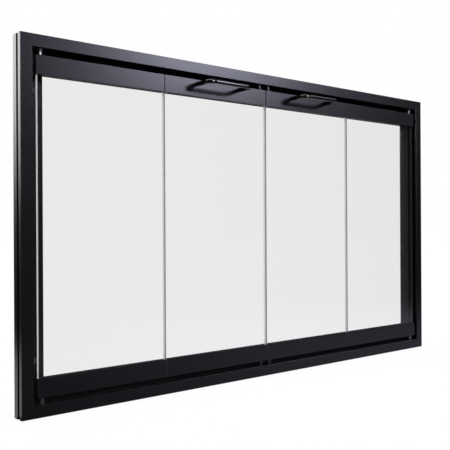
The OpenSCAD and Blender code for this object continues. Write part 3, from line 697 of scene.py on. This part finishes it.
# Boxes of the separate solids in a CAD node: points that share a triangle end up with the same label,
# the lowest one among them
def solidBoxes(node):
    mesh = nodes[node].data
    flat, corners = np.empty(len(mesh.vertices) * 3), np.empty(len(mesh.loops), np.int32)
    mesh.vertices.foreach_get("co", flat)
    mesh.loops.foreach_get("vertex_index", corners)
    metres = np.round(flat.reshape(-1, 3), 7)   # points closer than that are one
    places, same = np.unique(metres, axis=0, return_inverse=True)
    triangles = same.reshape(-1)[corners].reshape(-1, 3)
    label, before = np.arange(len(places)), None
    while before is None or (label != before).any():
        before = label.copy()
        np.minimum.at(label, triangles, before[triangles].min(1)[:, None])
        label = label[label]
    return [(places[label == k].min(0), places[label == k].max(0)) for k in np.unique(label)]


screwSet = {
    "panMm": 1.6,            # height of a pan head
    "sunkMm": 2.0,           # height of a countersunk head
    "rimMm": 0.1,            # height of the rim round a countersunk head
    "thinMm": 1.6,           # radius of the shanks in the rails and the sockets
    "thickMm": 2.0,          # radius of the shanks in the handles and the corner keys
    "tipShare": 0.5,         # radius of the tip, as a share of the shank's
    "armShare": 0.62,        # reach of the cross recess, as a share of the head's radius
    "slotShare": 0.15,       # half the width of an arm, as the same share
    "recessMm": 1.0,
    "floorShare": 0.72,      # size of the recess at its bottom
    "centreShare": 0.3,      # size of the flat face at the middle of that
    "armSteps": 4,
    "firstRing": 0.06,       # the first ring outside the recess, as a share of the way to the head's edge
    "headRings": 7,
    "turnDegrees": 137.5,    # each screw stops at another angle
    "smoothDegrees": 30,
}


# Directions around a screw, closer together at the corners of its cross
def crossAngles(s):
    corner = math.atan(s["slotShare"] / s["armShare"])
    side = np.linspace(corner, math.pi / 4, s["armSteps"])
    quarter = np.concatenate([-side[::-1], [0.0], side[:-1]])
    return (quarter[None, :] + np.arange(4)[:, None] * math.pi / 2).reshape(-1)


# Distance of the cross's outline: arm / cos(a) at the tip and slot / sin(a) along the side of an arm,
# whichever is nearer, with a folded into an eighth of a turn
def crossReach(angle, arm, slot):
    folded = np.abs((angle + math.pi / 4) % (math.pi / 2) - math.pi / 4)
    return np.minimum(arm / np.cos(folded), slot / np.maximum(np.sin(folded), 1e-6))   # never through zero


# Height of a head over its seat at a distance r: h * (1 - (r / R)^4)^(1/2), or flat for a countersunk one
def headHeight(r, headR, high, domed):
    return high * np.sqrt(np.maximum(1 - (r / headR) ** 4, 0)) if domed else 0 * r + high


# Rings from the bottom of the recess over the head and down the shank to its tip, as radius and height
def screwRings(headR, shankR, high, length, domed, s):
    angle = crossAngles(s)
    reach = crossReach(angle, s["armShare"] * headR, s["slotShare"] * headR)
    rim = headHeight(reach, headR, high, domed)
    floor = rim.min() - s["recessMm"] * mm + 0 * angle
    rings = [(s["centreShare"] * reach, floor), (s["floorShare"] * reach, floor), (reach, rim)]
    for share in np.linspace(s["firstRing"], 1.0, s["headRings"]):
        r = reach + (headR - reach) * share
        rings.append((r, headHeight(r, headR, high, domed)))
    same = np.ones_like(angle)
    if domed:
        rings += [(headR * same, 0 * same), (shankR * same, 0 * same)]
    else:
        rings += [(headR * same, high - s["rimMm"] * mm * same), (shankR * same, 0 * same)]
    rings += [(shankR * same, (shankR - length) * same), (s["tipShare"] * shankR * same, -length * same)]
    return angle, np.array([r for r, z in rings]), np.array([z for r, z in rings])


# Rings of radius and height set on an axis: seat + r cos(a) first + r sin(a) second + height out, where
# first and second are square to the axis, which points out
def onAxis(angle, radius, height, seat, out, turn=0.0):
    out = Vector(out)
    first = out.orthogonal().normalized()
    second = out.cross(first)
    return (np.array(seat) + (radius * np.cos(angle + turn))[..., None] * np.array(first)
            + (radius * np.sin(angle + turn))[..., None] * np.array(second) + height[..., None] * np.array(out))


# A profile of radii and heights turned the whole way round an axis
def turnProfile(radius, height, around, seat, out):
    angle, same = np.linspace(0, 2 * math.pi, around, endpoint=False), np.ones((1, around))
    return onAxis(angle, radius[:, None] * same, height[:, None] * same, seat, out)


# A screw for each solid of the node; its box gives the place, the head's size and the length
def makeScrews(node, axis, shank, domed, s):
    parts, high = [], s["panMm" if domed else "sunkMm"] * mm
    for index, (low, top) in enumerate(solidBoxes(node)):
        out = np.zeros(3)
        out[axis] = 1.0 if axis == 1 or low[axis] > 0 else -1.0   # along Y all are driven from the rear
        across = (top - low)[0] / 2
        seat = (low + top) / 2
        seat[axis] = (top[axis] if out[axis] > 0 else low[axis]) - out[axis] * high
        length = (top - low)[axis] - high
        angle, radius, height = screwRings(across, s[shank] * mm, high, length, domed, s)
        points = onAxis(angle, radius, height, seat, out, math.radians(s["turnDegrees"]) * index)
        parts.append((points, gridFaces(len(radius), len(angle), loopV=True, ends=True)))
    finishPiece(node, *joinParts(parts), [slotOf[node]], s["smoothDegrees"])


for side in ("left", "right"):
    makeScrews(side + "_outer_rail_screws", 1, "thinMm", True, screwSet)
    makeScrews(side + "_inner_rail_screws", 1, "thinMm", True, screwSet)
    makeScrews(side + "_handle_screws", 1, "thickMm", True, screwSet)
makeScrews("socket_screws", 2, "thinMm", True, screwSet)
makeScrews("corner_key_screws", 1, "thickMm", False, screwSet)
print("screws made")

rivetSet = {
    "shankMm": 1.6,
    "tailMm": 1.1,           # height of the bulge inside the track
    "tailShare": 0.82,       # its radius, as a share of the head's
    "tailEnd": 0.3,          # radius of its flat end, as a share of the tail's
    "tailDegrees": 80,       # how far the bulge goes round to each side
    "tailSteps": 9,
    "headMm": 1.0,
    "headDegrees": 70,       # how far round its bend the dome goes before the hole
    "headSteps": 7,
    "holeMm": 0.85,          # the hole that the pulled pin leaves in the head
    "rimShare": 1.15,        # radius of the hole's rim, as a share of the hole's
    "rimHigh": 0.97,         # its height, as a share of the head's
    "pinMm": 0.45,           # how far below the head's top the broken pin ends
    "pinShares": (0.25, 0.9),   # radii of the flat face on the pin, as shares of the hole's
    "around": 32,
    "smoothDegrees": 40,
}


# Blind rivet, turned from a profile: broken pin, hole, domed head (R cos b, h sin b), shank, and a tail
# that bulges by (t / 2)(cos b, sin b)
def rivetProfile(headR, length, s):
    high, tail, shank, hole = (s[key] * mm for key in ("headMm", "tailMm", "shankMm", "holeMm"))
    bend = np.radians(np.linspace(s["headDegrees"], 0, s["headSteps"]))
    bulge = np.radians(np.linspace(s["tailDegrees"], -s["tailDegrees"], s["tailSteps"]))
    tailR, pinTop = s["tailShare"] * headR, high - s["pinMm"] * mm
    inner, outer = s["pinShares"]
    radius = np.concatenate([[inner * hole, outer * hole, hole, hole * s["rimShare"]], headR * np.cos(bend),
                             [shank, shank], tailR - tail / 2 + tail / 2 * np.cos(bulge),
                             [s["tailEnd"] * tailR]])
    height = np.concatenate([[pinTop, pinTop, pinTop, high * s["rimHigh"]], high * np.sin(bend),
                             [0, tail - length], tail / 2 - length + tail / 2 * np.sin(bulge), [-length]])
    return radius, height


# A rivet for each solid of the node, with its head away from the object's middle
def makeRivets(node, s):
    parts = []
    for low, high in solidBoxes(node):
        sign = 1.0 if low[2] > 0 else -1.0
        seat = (low + high) / 2
        seat[2] = (high[2] if sign > 0 else low[2]) - sign * s["headMm"] * mm
        radius, height = rivetProfile((high - low)[0] / 2, high[2] - low[2] - s["headMm"] * mm, s)
        points = turnProfile(radius, height, s["around"], seat, (0, 0, sign))
        parts.append((points, gridFaces(len(radius), s["around"], loopV=True, ends=True)))
    finishPiece(node, *joinParts(parts), [slotOf[node]], s["smoothDegrees"])


makeRivets("track_rivets", rivetSet)
print("rivets made")

bushSet = {
    "wallMm": 1.6,
    "highMm": 3.6,           # how far it stands out of the socket
    "lipMm": 0.4,            # bevel at its mouth
    "clearMm": 0.1,          # between it and the pin
    "around": 40,
}


# Nylon bush on the mouth of a pivot socket, turned round the pin from a profile; away is the
# direction out of the frame's member
def makeBush(side, level, away, s):
    socket = side + "_" + level + "_pivot_socket"
    low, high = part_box(socket)
    pinLow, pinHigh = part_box(side + "_bottom_pivot_pin")
    inner = (pinHigh[0] - pinLow[0]) / 2 + s["clearMm"] * mm
    outer, lip, tall = inner + s["wallMm"] * mm, s["lipMm"] * mm, s["highMm"] * mm
    radius = np.array([inner, outer, outer, outer - lip, inner + lip, inner])
    height = np.array([0, 0, tall - lip, tall, tall, tall - lip])
    seat = ((pinLow[0] + pinHigh[0]) / 2, (pinLow[1] + pinHigh[1]) / 2, low[2] if away < 0 else high[2])
    points = turnProfile(radius, height, s["around"], seat, (0, 0, away))
    bush = makePiece(socket.replace("socket", "bush"), bodyOf[socket], points,
                     gridFaces(len(radius), s["around"], loopU=True, loopV=True), ["dark_nylon"])


for side in ("left", "right"):
    makeBush(side, "top", -1.0, bushSet)
    makeBush(side, "bottom", 1.0, bushSet)
print("bushes made")

springSet = {
    "wireMm": 0.35,          # radius of the wire
    "turns": 4,
    "perTurn": 28,
    "aroundWire": 10,
    "smoothDegrees": 60,
}


# Coil spring under a top pivot pin, a round wire wound on a helix:
# x, y = (coil radius + wire cos b) (cos a, sin a) and z = wire sin b + rise a / last a.
def makeSpring(side, s):
    node = side + "_top_pivot_spring"
    low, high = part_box(node)
    wire = s["wireMm"] * mm
    coil = (high[0] - low[0]) / 2 - wire
    rise = high[2] - low[2] - 2 * wire
    a = np.linspace(0, 2 * math.pi * s["turns"], s["turns"] * s["perTurn"] + 1)[:, None]
    b = np.linspace(0, 2 * math.pi, s["aroundWire"], endpoint=False)[None, :]
    x, y = (low[0] + high[0]) / 2, (low[1] + high[1]) / 2
    out = coil + wire * np.cos(b)
    points = np.stack([x + out * np.cos(a), y + out * np.sin(a),
                       low[2] + wire + wire * np.sin(b) + rise * a / a.max()], -1)
    spring = makePiece(node + "_shown", None, points,
                       gridFaces(len(a), s["aroundWire"], loopV=True, ends=True), ["zinc_steel"],
                       s["smoothDegrees"])
    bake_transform(spring)
    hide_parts(node)


for side in ("left", "right"):
    makeSpring(side, springSet)
print("springs made")

plugSet = {
    "flangeMm": 2.4,         # thickness of the flange that it sits in
    "deepShare": 0.85,       # how far it goes into the hole, as a share of that
    "boreShare": 0.7,        # radius of its hollow, as a share of the shank's
    "ceilingShare": 0.3,     # height of the hollow's end over the flange, as a share of the plug's
    "tipMm": 0.2,            # bevel at the tip of the shank
    "brimMm": 4.4,           # radius of the brim in front of the hole
    "highMm": 1.0,
    "edgeHigh": 0.35,        # where the brim's edge starts to bend, as a share of the plug's height
    "edgeRise": 0.5,         # how far it rises from there and comes in, as the same share
    "edgeIn": 0.6,
    "topShare": 0.5,         # a ring on the dome, as shares of the brim's radius and of the height
    "topHigh": 0.96,
    "clearMm": 0.05,         # between the shank and the hole
    "bendSteps": 8,
    "around": 48,
}


# Hollow nylon plug in an anchor hole of the rear flange, turned from a profile: cup, shank, brim, an edge
# that bends in by (1 - cos b) and up by sin b, and a low dome
def makePlug(name, x, z, holeMm, s):
    shank, brim, high = (holeMm - s["clearMm"]) * mm, s["brimMm"] * mm, s["highMm"] * mm
    deep, tip = s["deepShare"] * s["flangeMm"] * mm, s["tipMm"] * mm
    bore, ceiling = s["boreShare"] * shank, s["ceilingShare"] * high
    bend = np.radians(np.linspace(0, 90, s["bendSteps"]))
    radius = np.concatenate([[0.0, bore, bore, shank - tip, shank, shank, brim],
                             brim - s["edgeIn"] * high * (1 - np.cos(bend)), [s["topShare"] * brim, 0.0]])
    height = np.concatenate([[ceiling, ceiling, -deep, -deep, -deep + tip, 0.0, 0.0],
                             s["edgeHigh"] * high + s["edgeRise"] * high * np.sin(bend),
                             [s["topHigh"] * high, high]])
    points = turnProfile(radius, height, s["around"], (x, -s["flangeMm"] * mm, z), (0, -1, 0))
    plug = makePiece(name, "frame", points, gridFaces(len(radius), s["around"], loopV=True), ["dark_nylon"])


anchors = frame["record"]["mounts"][0]["dims"]
for side, sx in (("left", -0.5), ("right", 0.5)):
    for level, sz in (("bottom", -0.5), ("top", 0.5)):
        makePlug(side + "_" + level + "_anchor_plug", sx * anchors["spacing_x_mm"] * mm,
                 sz * anchors["spacing_y_mm"] * mm, anchors["hole_r_mm"], plugSet)
print("plugs made")
